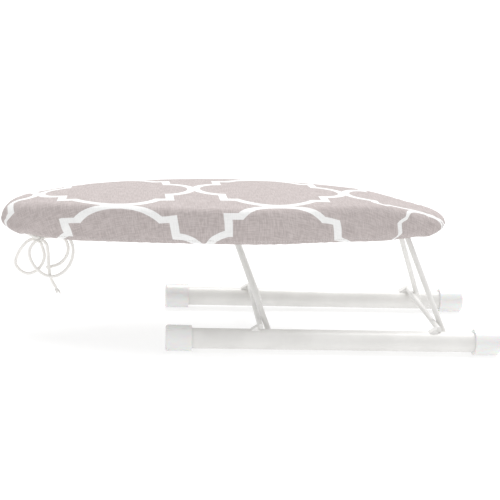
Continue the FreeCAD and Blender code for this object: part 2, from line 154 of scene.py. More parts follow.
LOOP_TAIL = [
    (-231.5, -13.0, 100.5), (-238.0, -14.5, 95.0), (-240.5, -15.5, 86.0), (-237.5, -16.0, 76.5),
    (-231.5, -16.0, 68.0), (-223.0, -16.0, 61.5), (-212.5, -16.0, 60.0), (-202.5, -15.5, 65.5),
    (-195.5, -15.0, 74.5), (-192.0, -14.5, 86.5), (-193.5, -13.5, 99.0), (-201.5, -12.0, 108.5),
    (-213.0, -11.5, 107.5), (-225.0, -11.5, 104.5),
]
TAIL_SHORT = [
    (-226.0, -8.5, 102.5), (-216.5, -7.5, 104.0), (-206.5, -7.5, 106.0), (-199.0, -7.5, 97.5),
    (-198.0, -7.5, 86.0), (-204.0, -7.0, 75.5), (-212.5, -7.0, 70.0), (-222.0, -7.0, 68.5),
]
TAIL_LONG = [
    (-226.5, -12.0, 101.0), (-221.5, -12.5, 97.5), (-220.0, -12.5, 90.0), (-219.5, -12.5, 80.0),
    (-219.0, -12.0, 70.0), (-218.0, -12.0, 61.0), (-215.5, -12.0, 53.5), (-211.5, -12.0, 47.5),
]
LEADS = [                   # from the hem to the knot
    [(-258.0, -14.5, 114.5), (-246.0, -14.5, 111.0), (-238.0, -14.0, 106.0), (-231.0, -12.5, 102.5)],
    [(-260.0, -7.0, 114.5), (-247.0, -7.0, 111.0), (-238.0, -8.0, 106.0), (-231.0, -9.5, 102.5)],
]
TUFTS = ((Vector((6.4, 0.8, -9.6)), 0.0), (Vector((1.6, -0.8, -9.0)), 2.0))   # reach and turn
TUFT_YARNS = 4
YARN_POINTS = 10
YARN_RADIUS = 0.85
YARN_TAPER = 0.5

# ---------------------------------------- studio
CAMERA_PLACE = Vector((-100.95, -1244.33, 392.28))
CAMERA_LENS = 82.71
CAMERA_YAW = 4.75           # degrees, as pitch and roll are
CAMERA_PITCH = 13.557
CAMERA_ROLL = 2.311
FLOOR_HALF = 60000.0
FLOOR_GLOW = 0.6
WORLD_STRENGTH = 0.77
SUN_FROM = Vector((0.2, 0.35, 1.0))
SUN_SPREAD = 50.0           # degrees; a wide sun gives soft shadows
SUN_STRENGTH = 2.15

# ---------------------------------------- print on the cover, millimetres
CELL_X = 83.5               # half of the lattice's period along the board
CELL_Y = 77.5               # and across it
LATTICE_X = 21.2            # centre of one quatrefoil
LATTICE_Y = 2.0
LATTICE_SHEAR = 0.045
LINE_SOFT = 0.35            # half of the printed line's soft edge
NOSE_DRAW_X = -90.0         # from here to the nose the cloth is drawn round, most at the front
NOSE_DRAW_REACH = 115.0
NOSE_DRAW_BACK = 1.9e-3
NOSE_DRAW_OUT = 5.0e-4
NOSE_DRAW_MIDDLE = 0.36
NOSE_DRAW_FRONT = 0.0088    # more of it for each millimetre to the front
TAIL_DRAW_X = 132.0         # and towards the tail it is drawn together
TAIL_DRAW_REACH = 55.0
TAIL_DRAW = 1.5
BUNCH_X = 188.0             # the cloth of the tail's sides is bunched round this place
BUNCH_FROM_X = 115.0
BUNCH_FULL_X = 155.0
BUNCH_FROM_Y = 30.0
BUNCH_FULL_Y = 46.0
BUNCH = 0.55
FRONT_DRAW = 0.16           # the front half is drawn in behind the middle
FRONT_DRAW_FROM_X = 20.0
FRONT_DRAW_FULL_X = 80.0
WALL_DRAW = 1.25            # the sides are drawn in, so more cloth goes into their height
TAIL_WALL_TURN = -0.45      # how the cloth on the tapered sides leans as it goes down
CORNER_X = 55.1             # corner of the square in the middle of a quatrefoil
CORNER_Y = 53.0
CUSP_X = 41.7               # where the lobes meet the square's sides
CUSP_Y = 30.5
TOUCH_GAP = 2.4             # between a lobe's line and the edge of its cell
LINE_WIDTH = 8.8
WANDER = 0.8                # how far the printed line strays
WEAVE_PITCH = 0.55
THREAD_PITCH = 0.3


# ======================================== shader maths
class Value:
    """A node's output that ordinary arithmetic can be written on."""

    def __init__(self, graph, socket):
        self.graph = graph
        self.socket = socket

    def _math(self, operation, *values):
        inputs = dict(enumerate(values))
        return self.graph.node("ShaderNodeMath", {"operation": operation}, inputs)

    def __add__(self, other):
        return self._math("ADD", self, other)

    def __sub__(self, other):
        return self._math("SUBTRACT", self, other)

    def __rsub__(self, other):
        return self._math("SUBTRACT", other, self)

    def __mul__(self, other):
        return self._math("MULTIPLY", self, other)

    def __neg__(self):
        return self * -1.0

    def __abs__(self):
        return self._math("ABSOLUTE", self)

    __radd__ = __add__
    __rmul__ = __mul__

    def least(self, other):
        return self._math("MINIMUM", self, other)

    def most(self, other):
        return self._math("MAXIMUM", self, other)

    def sine(self):
        return self._math("SINE", self)

    def to_fold(self, half):
        """Distance from the nearest whole period, as a lattice repeats."""
        return self._math("PINGPONG", self, half)

    def ramp(self, low, high):
        """0 below low, 1 above high, smooth in between."""
        settings = {"interpolation_type": "SMOOTHSTEP"}
        return self.graph.node("ShaderNodeMapRange", settings, {0: self, 1: low, 2: high})


class Graph:
    """One material and its nodes."""

    def __init__(self, name):
        self.material = bpy.data.materials.new(name)
        self.material.use_nodes = True
        self.tree = self.material.node_tree
        self.tree.nodes.clear()

    def node(self, kind, settings=None, inputs=None, output=0):
        """Adds a node: settings first, then values or links for its sockets."""
        node = self.tree.nodes.new(kind)
        for key, value in (settings or {}).items():
            setattr(node, key, value)
        for key, value in (inputs or {}).items():
            if isinstance(value, Value):
                self.tree.links.new(value.socket, node.inputs[key])
            else:
                node.inputs[key].default_value = value
        return Value(self, node.outputs[output]) if len(node.outputs) else None

    def place(self, scale=1000.0):
        """Object coordinates, in millimetres unless another scale is given."""
        place = self.node("ShaderNodeTexCoord", output="Object")
        return self.scaled(place, (scale, scale, scale))

    def scaled(self, vector, scale):
        return self.node("ShaderNodeVectorMath", {"operation": "MULTIPLY"}, {0: vector, 1: scale})

    def parts(self, vector):
        split = self.tree.nodes.new("ShaderNodeSeparateXYZ")
        self.tree.links.new(vector.socket, split.inputs[0])
        return [Value(self, socket) for socket in split.outputs]

    def joined(self, x, y, z=0.0):
        return self.node("ShaderNodeCombineXYZ", None, {0: x, 1: y, 2: z})

    def length(self, x, y):
        """Distance from the origin of a place in the plane."""
        return self.node("ShaderNodeVectorMath", {"operation": "LENGTH"}, {0: self.joined(x, y)}, 1)

    def noise(self, vector, scale=1.0, detail=2.0, roughness=0.5):
        inputs = {"Vector": vector, "Scale": scale, "Detail": detail, "Roughness": roughness}
        return self.node("ShaderNodeTexNoise", None, inputs)

    def blend(self, factor, first, second):
        """A colour between two colours."""
        inputs = {0: factor, 6: first, 7: second}
        return self.node("ShaderNodeMix", {"data_type": "RGBA"}, inputs, 2)

    def bump(self, height, distance, strength=1.0):
        inputs = {"Height": height, "Distance": distance, "Strength": strength}
        return self.node("ShaderNodeBump", None, inputs)

    def finish(self, **sockets):
        """Ends the graph in one Principled surface."""
        inputs = {key.replace("_", " "): value for key, value in sockets.items()}
        surface = self.node("ShaderNodeBsdfPrincipled", None, inputs)
        self.node("ShaderNodeOutputMaterial", None, {"Surface": surface})
        return self.material


def colour(red, green, blue):
    return (red, green, blue, 1.0)


GREY_LOW = colour(0.455, 0.402, 0.392)
GREY_HIGH = colour(0.585, 0.525, 0.515)
THREAD_LOW = colour(0.60, 0.57, 0.56)
THREAD_HIGH = colour(0.72, 0.69, 0.68)
DECK_LOW = colour(0.72, 0.72, 0.71)
DECK_HIGH = colour(0.80, 0.80, 0.79)
STRAP_LOW = colour(0.62, 0.62, 0.61)
STRAP_HIGH = colour(0.72, 0.72, 0.71)
RIVET_LOW = colour(0.66, 0.66, 0.67)
RIVET_HIGH = colour(0.78, 0.78, 0.79)


def weave_of(across, along, pitch):
    """Plain weave height from two coordinates in millimetres: threads go over and under."""
    turn = math.pi / pitch
    warp = (across * turn).sine()
    weft = (along * turn).sine()
    over = (warp * weft).ramp(-0.35, 0.35)
    warp_round = abs(warp)
    weft_round = abs(weft)
    return over * warp_round + (1.0 - over) * weft_round


def slubs_of(graph, across, along):
    """Thicker and thinner threads, long one way and short the other."""
    one_way = graph.noise(graph.joined(across * 0.08, along * 0.9), detail=4.0, roughness=0.6)
    other_way = graph.noise(graph.joined(across * 0.9, along * 0.08, 7.0), detail=4.0, roughness=0.6)
    return (one_way + other_way) * 0.5


def lobe(tip, edge, cusp):
    """Centre on its axis and radius of the round lobe through a tip and a cusp."""
    centre = (tip * tip - edge * edge - cusp * cusp) / (2 * (tip - edge))
    return centre, tip - centre


def lattice_cell(across, along):
    """Place in one cell of the lattice, after the cloth is drawn round the nose and in at the tail."""
    drawn = (NOSE_DRAW_X - across).most(0.0).least(NOSE_DRAW_REACH)
    pull = drawn * drawn * (NOSE_DRAW_MIDDLE - along * NOSE_DRAW_FRONT)
    on_tail_side = across.ramp(BUNCH_FROM_X, BUNCH_FULL_X) * (-along).ramp(BUNCH_FROM_Y, BUNCH_FULL_Y)
    bunched = (across - BUNCH_X) * on_tail_side * BUNCH
    x = (across + bunched + pull * NOSE_DRAW_OUT + along * LATTICE_SHEAR - LATTICE_X).to_fold(CELL_X)
    narrowed = 1.0 + across.ramp(TAIL_DRAW_X, TAIL_DRAW_X + TAIL_DRAW_REACH) * TAIL_DRAW
    fronted = along.least(0.0) * across.ramp(FRONT_DRAW_FROM_X, FRONT_DRAW_FULL_X) * FRONT_DRAW
    y = (along * narrowed + fronted - pull * NOSE_DRAW_BACK - LATTICE_Y).to_fold(CELL_Y)
    return x, y


def printed_lattice(graph, across, along):
    """Mask of the printed line: the outline of a square joined with four round lobes."""
    x, y = lattice_cell(across, along)
    square = (x - CORNER_X).most(y - CORNER_Y)
    side_centre, side_radius = lobe(CELL_X - TOUCH_GAP, CORNER_X, CUSP_Y)
    top_centre, top_radius = lobe(CELL_Y - TOUCH_GAP, CORNER_Y, CUSP_X)
    side = graph.length(x - side_centre, y)
    top = graph.length(x, y - top_centre)
    outline = abs(square.least(side - side_radius).least(top - top_radius))
    return 1.0 - outline.ramp(LINE_WIDTH / 2 - LINE_SOFT, LINE_WIDTH / 2 + LINE_SOFT)


# ======================================== materials
def printed_cotton():
    """Woven cotton on the cloth's own map: warm grey slubbed ground under a white printed lattice."""
    graph = Graph("printed_cotton")
    flat = graph.node("ShaderNodeUVMap", {"uv_map": "cloth"})
    across, along, _ = graph.parts(graph.scaled(flat, (1000.0, 1000.0, 1000.0)))
    wander = graph.noise(graph.joined(across * 0.05, along * 0.05, 3.0), detail=1.0) - 0.5
    line = printed_lattice(graph, across + wander * WANDER, along + wander * WANDER)
    weave = weave_of(across, along, WEAVE_PITCH)
    slubs = slubs_of(graph, across, along)
    ground = graph.blend(slubs.ramp(0.41, 0.59), GREY_LOW, GREY_HIGH)
    white = graph.blend(slubs.ramp(0.38, 0.62), colour(0.86, 0.86, 0.855), colour(0.93, 0.93, 0.925))
    base = graph.blend(line, ground, white)
    # Painted shade: the cloth is darker where the weave's threads dip under each other.
    shade = graph.blend(weave.ramp(0.1, 0.6), colour(0.92, 0.92, 0.92), colour(1.0, 1.0, 1.0))
    settings = {"data_type": "RGBA", "blend_type": "MULTIPLY"}
    base = graph.node("ShaderNodeMix", settings, {0: 1.0, 6: base, 7: shade}, 2)
    height = weave * 0.5 + slubs * 0.9 + line * 0.1
    normal = graph.bump(height, 0.00022, 0.8)
    roughness = 0.86 + slubs * 0.1
    return graph.finish(
        Base_Color=base, Roughness=roughness, Normal=normal, Sheen_Weight=0.12, Sheen_Roughness=0.5,
        Specular_IOR_Level=0.2,
    )


def plain_cotton(name, low, high, pitch):
    """Unprinted woven cotton, on the piece's own place."""
    graph = Graph(name)
    x, y, z = graph.parts(graph.place())
    across = x + z * 0.4
    along = y + z
    weave = weave_of(across, along, pitch)
    slubs = slubs_of(graph, across, along)
    base = graph.blend(slubs.ramp(0.41, 0.59), low, high)
    normal = graph.bump(weave * 0.6 + slubs * 0.8, 0.0002, 0.7)
    roughness = 0.86 + slubs * 0.1
    return graph.finish(Base_Color=base, Roughness=roughness, Normal=normal, Specular_IOR_Level=0.2)


def cord_cotton():
    """Twisted cotton yarn: fine fibres laid along each strand."""
    graph = Graph("cord_cotton")
    along_map = graph.node("ShaderNodeUVMap", {"uv_map": "yarn"})
    around, along, _ = graph.parts(along_map)
    laid = graph.joined(around * 26.0 + along * 260.0, along * 420.0)
    fibres = graph.noise(laid, detail=3.0, roughness=0.6)
    patches = graph.noise(graph.place(350.0), detail=2.0)
    base = graph.blend(fibres.ramp(0.3, 0.7), colour(0.87, 0.85, 0.82), colour(0.98, 0.965, 0.94))
    base = graph.blend(patches.ramp(0.5, 0.8) * 0.25, base, colour(0.90, 0.87, 0.82))
    normal = graph.bump(fibres, 0.00025, 0.9)
    return graph.finish(Base_Color=base, Roughness=0.82 + fibres * 0.15, Normal=normal, Sheen_Weight=0.15)


def white_paint():
    """Stoved white enamel on steel: faint orange peel, a few dull and rubbed places."""
    graph = Graph("white_paint")
    place = graph.place()
    peel = graph.noise(place, 0.55, 2.0)
    patches = graph.noise(place, 0.035, 3.0)
    specks = graph.noise(place, 1.6, 4.0, 0.7)
    base = graph.blend(patches.ramp(0.35, 0.7), colour(0.765, 0.755, 0.735), colour(0.815, 0.805, 0.785))
    dust = specks.ramp(0.68, 0.78) * 0.35
    base = graph.blend(dust, base, colour(0.62, 0.61, 0.59))
    roughness = 0.30 + patches * 0.16 + dust * 0.3
    normal = graph.bump(peel + specks * 0.2, 0.00006, 0.7)
    return graph.finish(Base_Color=base, Roughness=roughness, Normal=normal, Coat_Weight=0.25)


def cap_plastic():
    """Glossy moulded polyethylene with flow marks and a scuffed rim."""
    graph = Graph("cap_plastic")
    place = graph.place()
    flow = graph.noise(graph.scaled(place, (0.02, 0.09, 0.09)), 1.0, 3.0)
    scuff = graph.noise(graph.scaled(place, (0.9, 0.12, 0.12)), 1.0, 4.0, 0.65)
    base = graph.blend(flow.ramp(0.35, 0.7), colour(0.80, 0.795, 0.785), colour(0.835, 0.83, 0.825))
    marks = scuff.ramp(0.62, 0.75)
    base = graph.blend(marks * 0.2, base, colour(0.70, 0.70, 0.69))
    roughness = 0.22 + flow * 0.12 + marks * 0.25
    normal = graph.bump(flow + scuff * 0.12, 0.00012, 0.6)
    return graph.finish(
        Base_Color=base, Roughness=roughness, Normal=normal, Coat_Weight=0.2,
        Subsurface_Weight=0.25, Subsurface_Scale=0.004,
    )


def sheet_metal(name, low, high, metallic, rough):
    """Sheet or strip metal with rolling marks along the board."""
    graph = Graph(name)
    place = graph.place()
    rolled = graph.noise(graph.scaled(place, (0.05, 0.9, 0.9)), 1.0, 3.0, 0.6)
    patches = graph.noise(place, 0.05, 3.0)
    base = graph.blend(patches.ramp(0.35, 0.68), low, high)
    roughness = rough + rolled * 0.15
    normal = graph.bump(rolled, 0.00005, 0.6)
    return graph.finish(Base_Color=base, Roughness=roughness, Metallic=metallic, Normal=normal)


def open_foam():
    """Cream foam with open cells."""
    graph = Graph("open_foam")
    place = graph.place()
    inputs = {"Vector": place, "Scale": 1.1}
    cells = graph.node("ShaderNodeTexVoronoi", {"feature": "DISTANCE_TO_EDGE"}, inputs)
    patches = graph.noise(place, 0.05, 3.0)
    base = graph.blend(patches.ramp(0.3, 0.7), colour(0.80, 0.76, 0.62), colour(0.88, 0.85, 0.74))
    # The cells' edges are painted lighter than their middles: painted shade in the open cells' hollows.
    base = graph.blend(1.0 - cells.ramp(0.0, 0.14), base, colour(0.93, 0.91, 0.83))
    normal = graph.bump(cells, 0.0004, 0.8)
    return graph.finish(Base_Color=base, Roughness=0.9 + patches * 0.08, Normal=normal)


def floor_finish():
    """A light table: it glows a little, so that shadows on it stay pale."""
    graph = Graph("pale_floor")
    grain = graph.noise(graph.place(), 0.02, 2.0)
    base = graph.blend(grain, colour(0.47, 0.47, 0.47), colour(0.49, 0.49, 0.49))
    return graph.finish(
        Base_Color=base, Roughness=0.9, Specular_IOR_Level=0.1,
        Emission_Color=colour(1.0, 1.0, 1.0), Emission_Strength=FLOOR_GLOW,
    )


finishes = {
    "printed_cotton": printed_cotton(),
    "hem_cotton": plain_cotton("hem_cotton", GREY_LOW, GREY_HIGH, WEAVE_PITCH),
    "thread": plain_cotton("thread_cotton", THREAD_LOW, THREAD_HIGH, THREAD_PITCH),
    "cord_cotton": cord_cotton(),
    "white_paint": white_paint(),
    "cap_plastic": cap_plastic(),
    "foam": open_foam(),
    "deck_steel": sheet_metal("deck_steel", DECK_LOW, DECK_HIGH, 0.0, 0.38),
    "strap_steel": sheet_metal("strap_steel", STRAP_LOW, STRAP_HIGH, 0.4, 0.32),
    "rivet_aluminium": sheet_metal("rivet_aluminium", RIVET_LOW, RIVET_HIGH, 1.0, 0.3),
}


# ======================================== small helpers
def make_piece(name, points, faces, finish, loops_uv=None, uv_name="cloth", smooth=True):
    """A mesh object at the origin from points in millimetres."""
    mesh = bpy.data.meshes.new(name)
    mesh.from_pydata([Vector(p) * MM for p in points], [], faces)
    if loops_uv is not None:
        layer = mesh.uv_layers.new(name=uv_name)
        for loop in mesh.loops:
            layer.data[loop.index].uv = loops_uv[loop.vertex_index]
    for polygon in mesh.polygons:
        polygon.use_smooth = smooth
    mesh.materials.append(finishes[finish])
    piece = bpy.data.objects.new(name, mesh)
    bpy.context.collection.objects.link(piece)
    return piece


def plain_mesh(piece):
    """The piece's evaluated mesh, with its modifiers applied and removed."""
    bpy.context.view_layer.update()
    evaluated = piece.evaluated_get(bpy.context.evaluated_depsgraph_get())
    mesh = bpy.data.meshes.new_from_object(evaluated)
    piece.modifiers.clear()
    old = piece.data
    piece.data = mesh
    if isinstance(old, bpy.types.Mesh):
        bpy.data.meshes.remove(old)
    return mesh


def smoothstep(low, high, value):
    t = min(1.0, max(0.0, (value - low) / (high - low)))
    return t * t * (3 - 2 * t)


def mix(first, second, t):
    return first + (second - first) * t


# ======================================== board outline
def outline_stations():
    """Points and outward normals round the outline, from the tail's tip by the back."""
    ratio = (WIDEST_FROM_NOSE - NOSE_RADIUS) / (HALF_WIDTH - NOSE_RADIUS)
    nose_turn = 2 * math.atan(ratio) - math.pi / 2
    side_radius = NOSE_RADIUS + (WIDEST_FROM_NOSE - NOSE_RADIUS) / math.cos(nose_turn)
    widest_x = NOSE_X + WIDEST_FROM_NOSE
    nose_centre = Vector((NOSE_X + NOSE_RADIUS, 0))
    side_centre = Vector((widest_x, HALF_WIDTH - side_radius))
    taper_centre = Vector((widest_x, HALF_WIDTH - TAIL_SIDE_RADIUS))
    tail_centre = Vector((NOSE_X + BOARD_LENGTH - TAIL_RADIUS, 0))
    between = tail_centre - taper_centre
    spread = math.acos((TAIL_SIDE_RADIUS - TAIL_RADIUS) / between.length)
    taper = math.atan2(between.x, between.y) - spread
    found = []

    def arc(centre, radius, start, end, spacing):
        steps = max(3, round(radius * abs(end - start) / spacing))
        for i in range(steps):
            angle = mix(start, end, i / steps)
            normal = Vector((math.sin(angle), math.cos(angle)))
            found.append((centre + normal * radius, normal))

    arc(tail_centre, TAIL_RADIUS, math.pi / 2, taper, END_SPACING)
    facing = Vector((math.sin(taper), math.cos(taper)))
    tangent_from = tail_centre + facing * TAIL_RADIUS
    run = taper_centre + facing * TAIL_SIDE_RADIUS - tangent_from
    steps = round(run.length / SIDE_SPACING)
    for i in range(steps):
        found.append((tangent_from + run * (i / steps), facing))
    arc(taper_centre, TAIL_SIDE_RADIUS, taper, 0.0, SIDE_SPACING)
    arc(side_centre, side_radius, 0.0, nose_turn - math.pi / 2, SIDE_SPACING)
    arc(nose_centre, NOSE_RADIUS, nose_turn - math.pi / 2, -math.pi / 2, END_SPACING)
    found.append((Vector((NOSE_X, 0)), Vector((-1, 0))))
    front = [(Vector((p.x, -p.y)), Vector((n.x, -n.y))) for p, n in reversed(found[1:-1])]
    return found + front


STATIONS = outline_stations()


def tipness(point, normal):
    """0 along the sides, 1 at nose and tail: half by the way it faces, half by its place."""
    turned = smoothstep(*TIP_FACING, abs(normal.x))
    near_nose = smoothstep(NOSE_FROM_X, NOSE_X + TIP_REACH, point.x)
    near_tail = smoothstep(TAIL_FROM_X, NOSE_X + BOARD_LENGTH - TIP_REACH, point.x)
    return 0.5 * turned + 0.5 * max(near_nose, near_tail)


def arch_drop(x):
    """How far the bowed board has come down at a place along it."""
    return (x - ARCH_X) ** 2 / (2 * ARCH_RADIUS)


def spine_point(point, normal):
    """Where the ring through a point closes in, on the board's middle line."""
    low = NOSE_X + NOSE_RADIUS * SPINE_SHARE
    high = NOSE_X + BOARD_LENGTH - TAIL_RADIUS
    return Vector((min(high, max(low, point.x - normal.x * abs(point.y))), 0))


def crown_level(place):
    """Height of the padded top, before the board's own bow."""
    nose = smoothstep(NOSE_SAG_FROM_X, NOSE_SAG_FULL_X, place.x)
    tail = smoothstep(TAIL_SAG_FROM_X, TAIL_SAG_FULL_X, place.x)
    middle = TOP + mix(CROWN_RISE, -NOSE_SAG, nose) - (CROWN_RISE + TAIL_SAG) * tail
    return middle - CROWN_DROP * place.y ** 2


def side_profile(station, inset):
    """Points from the shoulder down to the hem, as (distance in from the outline, height)."""
    point, normal = station
    tip = tipness(point, normal)
    end = NOSE if point.x < 0 else TAIL
    shoulder, drop, roll, rise, lift, proud = (mix(SIDE[key], end[key], tip) for key in SIDE)
    shoulder -= inset
    drop -= inset
    inset -= proud
    bottom = UNDERSIDE + lift
    top = crown_level(point - normal * shoulder) - inset - proud
    rows = []
    for i in range(SHOULDER_STEPS + 1):
        angle = math.pi / 2 * i / SHOULDER_STEPS
        rows.append((inset + shoulder * (1 - math.sin(angle)), top - drop * (1 - math.cos(angle))))
    wall_top = top - drop
    wall_bottom = bottom + rise
    for i in range(1, WALL_STEPS):
        t = i / WALL_STEPS
        rows.append((inset - WALL_BULGE * math.sin(math.pi * t), mix(wall_top, wall_bottom, t)))
    for i in range(ROLL_STEPS + 1):
        angle = math.pi / 2 * i / ROLL_STEPS
        rows.append((inset + roll * (1 - math.cos(angle)), wall_bottom - rise * math.sin(angle)))
    return rows


def gathered(run, tip, depth):
    """How far a pucker stands out at a place round the outline, most at the hem and at the tips."""
    wave = noise.noise(Vector((run / GATHER_EVERY, 0.3 * depth, 4.0)))
    broad = noise.noise(Vector((run / BROAD_EVERY, 0.0, 9.0)))
    strength = GATHER * (GATHER_ALONG + (1.0 - GATHER_ALONG) * tip)
    return strength * depth ** 1.5 * (wave + BROAD_SHARE * broad)


def cover_columns():
    """Columns of points of the cover: spine, top, side and the lip turned in under the board.

    Each point is (place in plan, height, place on the flat cloth).
    """
    columns = []
    run = 0.0
    before = STATIONS[0][0]
    for station in STATIONS:
        point, normal = station
        run += (point - before).length
        before = point
        spine = spine_point(point, normal)
        tip = tipness(point, normal)
        turn = mix(TAIL_WALL_TURN, 1.0, tip) if normal.x > 0 else 1.0
        down = Vector((normal.x * turn, normal.y * WALL_DRAW))
        rows = side_profile(station, 0.0)
        edge = point - normal * rows[0][0]
        column = top_points(spine, edge, 0.0)
        developed = 0.0
        last = rows[0]
        for k, (distance, height) in enumerate(rows):
            pucker = gathered(run, tip, k / (len(rows) - 1))
            developed += math.hypot(distance - last[0], height - last[1])
            last = (distance, height)
            column.append((point - normal * (distance - pucker), height, edge + down * developed))
        distance, height = rows[-1]
        for k in range(1, LIP_ROWS + 1):
            width = LIP * k / LIP_ROWS
            rise = HEM_RISE * (k / LIP_ROWS) ** 2
            inner = point - normal * (distance + width)
            column.append((inner, height + rise, edge + down * (developed + width)))
        columns.append(column)
    return columns


def top_points(spine, edge, inset):
    """Points of the top from the spine out towards the shoulder."""
    places = [spine.lerp(edge, k / TOP_RINGS) for k in range(TOP_RINGS)]
    return [(place, crown_level(place) - inset, place) for place in places]


def mended(piece, merge=False):
    """Turns the faces outwards, after doubled points are merged where asked."""
    work = bmesh.new()
    work.from_mesh(piece.data)
    if merge:
        bmesh.ops.remove_doubles(work, verts=work.verts, dist=0.02 * MM)
        bmesh.ops.dissolve_degenerate(work, edges=work.edges, dist=0.001 * MM)
    bmesh.ops.recalc_face_normals(work, faces=work.faces)
    work.to_mesh(piece.data)
    work.free()
    return piece


def grid_mesh(name, columns, finish):
    """A mesh closed round the board from columns of (place in plan, height, place on the flat cloth)."""
    count = len(columns)
    depth = len(columns[0])
    points = []
    flat = []
    for column in columns:
        for place, height, developed in column:
            points.append((place.x, place.y, height - arch_drop(place.x)))
            flat.append((developed.x * MM, developed.y * MM))
    faces = []
    for i in range(count):
        j = (i + 1) % count
        for k in range(depth - 1):
            faces.append((i * depth + k, i * depth + k + 1, j * depth + k + 1, j * depth + k))
    return mended(make_piece(name, points, faces, finish, flat), merge=True)


def stand_in_for(piece, node):
    """The piece shows in place of a node of the board, which is hidden."""
    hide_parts(node)
    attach(piece, "board")


def smoothed_mesh(piece):
    smooth = piece.modifiers.new("smooth", "SUBSURF")
    smooth.levels = 1
    smooth.render_levels = 1
    plain_mesh(piece)


# ======================================== cover
def settle_cloth(piece):
    """Lets the side of the cover buckle as cloth that is slightly too wide, its top and hem held."""
    mesh = piece.data
    rest = [v.co.copy() for v in mesh.vertices]
    normals = [v.normal.copy() for v in mesh.vertices]
    group = piece.vertex_groups.new(name="held")
    for v in mesh.vertices:
        level = v.co.z / MM + arch_drop(v.co.x / MM)
        loose = smoothstep(*LOOSE_FROM_TOP, level) * smoothstep(*LOOSE_FROM_HEM, level)
        group.add([v.index], 1.0 - LOOSEST * loose, "REPLACE")
        bend = noise.noise(v.co / MM * BEND_EVERY) * FIRST_BEND
        v.co += normals[v.index] * bend * loose * MM
    cloth = piece.modifiers.new("cloth", "CLOTH")
    settings = cloth.settings
    settings.quality = 6
    settings.mass = 0.2
    settings.tension_stiffness = 25
    settings.compression_stiffness = 25
    settings.shear_stiffness = 8
    settings.bending_stiffness = 0.6
    settings.vertex_group_mass = "held"
    settings.pin_stiffness = 1.2
    settings.shrink_min = -0.035
    settings.use_pressure = True
    settings.uniform_pressure_force = 0.6
    settings.effector_weights.gravity = 0.0
    cloth.collision_settings.use_collision = False
    scene = bpy.context.scene
    scene.frame_start = 1
    scene.frame_end = SETTLE_STEPS
    cloth.point_cache.frame_start = 1
    cloth.point_cache.frame_end = SETTLE_STEPS
    for step in range(1, SETTLE_STEPS + 1):
        scene.frame_set(step)
    mesh = plain_mesh(piece)
    scene.frame_set(1)
    for v, start, normal in zip(mesh.vertices, rest, normals):
        moved = v.co - start
        out = max(-CAP_IN * MM, min(CAP_OUT * MM, moved.dot(normal)))
        slide = moved - normal * moved.dot(normal)
        if slide.length > CAP_SLIDE * MM:
            slide *= CAP_SLIDE * MM / slide.length
        v.co = start + normal * out + slide
    piece.vertex_groups.clear()


def make_cover():
    """The sewn cover: top, side and turned-in lip in one sheet."""
    piece = grid_mesh("fabric_cover", cover_columns(), "printed_cotton")
    settle_cloth(piece)
    thick = piece.modifiers.new("cloth_thickness", "SOLIDIFY")
    thick.thickness = CLOTH_THICKNESS * MM
    thick.offset = -1.0
    smoothed_mesh(piece)
    stand_in_for(piece, "cover")
    return piece


cover = make_cover()


# ======================================== camera, floor and light
def make_camera():
    data = bpy.data.cameras.new("camera")
    data.sensor_width = 36.0
    data.lens = CAMERA_LENS
    data.clip_start = 0.01
    data.clip_end = 200.0
    camera = bpy.data.objects.new("camera", data)
    pitch = math.radians(CAMERA_PITCH)
    yaw = math.radians(CAMERA_YAW)
    roll = math.radians(CAMERA_ROLL)
    turn = Matrix.Rotation(-yaw, 4, "Z") @ Matrix.Rotation(math.pi / 2 - pitch, 4, "X")
    turn = turn @ Matrix.Rotation(roll, 4, "Z")
    camera.matrix_world = Matrix.Translation(CAMERA_PLACE * MM) @ turn
    bpy.context.collection.objects.link(camera)
    bpy.context.scene.camera = camera


def make_floor():
    half = FLOOR_HALF
    corners = [(-half, -half, 0), (half, -half, 0), (half, half, 0), (-half, half, 0)]
    finishes["floor"] = floor_finish()
    floor = make_piece("floor", corners, [(0, 1, 2, 3)], "floor", smooth=False)


def make_sun():
    """Soft light from above and a little behind the board."""
    data = bpy.data.lights.new("overhead", "SUN")
    data.angle = math.radians(SUN_SPREAD)
    data.energy = SUN_STRENGTH
    light = bpy.data.objects.new("overhead", data)
    light.matrix_world = SUN_FROM.to_track_quat("Z", "Y").to_matrix().to_4x4()
    bpy.context.collection.objects.link(light)


def make_world():
    world = bpy.data.worlds.new("studio")
    world.use_nodes = True
    background = world.node_tree.nodes["Background"]
    background.inputs["Color"].default_value = (1.0, 1.0, 1.0, 1.0)
    background.inputs["Strength"].default_value = WORLD_STRENGTH
    bpy.context.scene.world = world
    bpy.context.scene.view_settings.view_transform = "Standard"


make_camera()
make_floor()
make_world()
make_sun()


# ======================================== drawstring
def smooth_route(name, points):
    """A smooth line of points, close together, along a route's NURBS spline."""
    data = bpy.data.curves.new(name, "CURVE")
    data.dimensions = "3D"
    data.resolution_u = 12
    spline = data.splines.new("NURBS")
    spline.points.add(len(points) - 1)
    for control, point in zip(spline.points, points):
        control.co = (*(Vector(point) * MM), 1.0)
    spline.order_u = 3
    spline.use_endpoint_u = True
    route = bpy.data.objects.new(name, data)
    bpy.context.collection.objects.link(route)
    bpy.context.view_layer.update()
    mesh = bpy.data.meshes.new_from_object(route.evaluated_get(bpy.context.evaluated_depsgraph_get()))
    line = [v.co / MM for v in mesh.vertices]
    bpy.data.meshes.remove(mesh)
    bpy.data.objects.remove(route)
    return even_line(line, CORD_SPACING)


